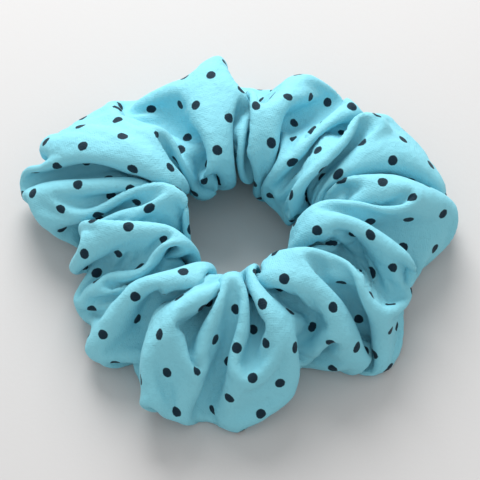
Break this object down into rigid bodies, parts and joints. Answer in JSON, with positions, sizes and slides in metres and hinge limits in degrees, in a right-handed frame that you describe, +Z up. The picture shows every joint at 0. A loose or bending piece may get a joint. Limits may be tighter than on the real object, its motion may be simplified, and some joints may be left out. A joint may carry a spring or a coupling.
{
  "type": "scrunchie",
  "caption": "Scrunchie: a ring of turquoise dotted cloth, sewn into a tube and gathered in soft folds on a closed loop of flat elastic.",
  "frame": {"origin": "centre of the ring, on the surface that the scrunchie lies on", "axes": "+Z up along the ring's axis; both joins, of the elastic's ends and of the cloth tube's ends, are on the +Y side"},
  "size_m": [0.11, 0.11, 0.032],
  "materials": {
    "cloth": "matte fine plain-woven cotton, turquoise with small round near-black dots",
    "elastic": "flat braided elastic, white polyester yarn over rubber cords",
    "thread": "spun polyester sewing thread, turquoise"
  },
  "bodies": {
    "root": {"fabric_cover": "cloth", "elastic_band": "elastic", "elastic_tack_needle_thread": "thread", "elastic_tack_bobbin_thread": "thread", "long_seam_needle_thread": "thread", "long_seam_bobbin_thread": "thread", "closing_seam_needle_thread": "thread", "closing_seam_bobbin_thread": "thread"}
  },
  "joints": []
}
